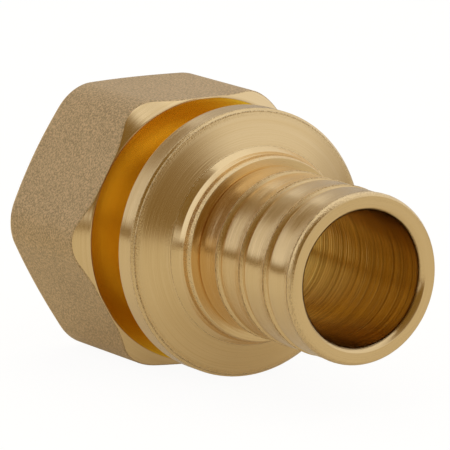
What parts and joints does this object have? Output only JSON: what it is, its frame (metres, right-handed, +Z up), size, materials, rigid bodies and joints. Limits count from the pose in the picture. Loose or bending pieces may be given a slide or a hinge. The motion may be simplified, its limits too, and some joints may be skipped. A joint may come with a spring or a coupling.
{
  "type": "threaded pipe adapter",
  "caption": "Brass adapter from a ribbed spigot for sleeved plastic pipe to a female pipe thread in a forged hexagon, with a clamping collar and an annular groove.",
  "frame": {"origin": "centre of the water way, in the plane of the face that stops the pipe", "axes": "+X along the water way, from the thread to the spigot; +Z up, square to the hexagon flat that the fitting lies on"},
  "size_m": [0.0505, 0.0354, 0.032],
  "materials": {
    "brass": "shot-blasted forging on the hexagon's flats and corners, turned bright everywhere else"
  },
  "bodies": {
    "root": {"adapter_body": "brass"}
  },
  "joints": []
}
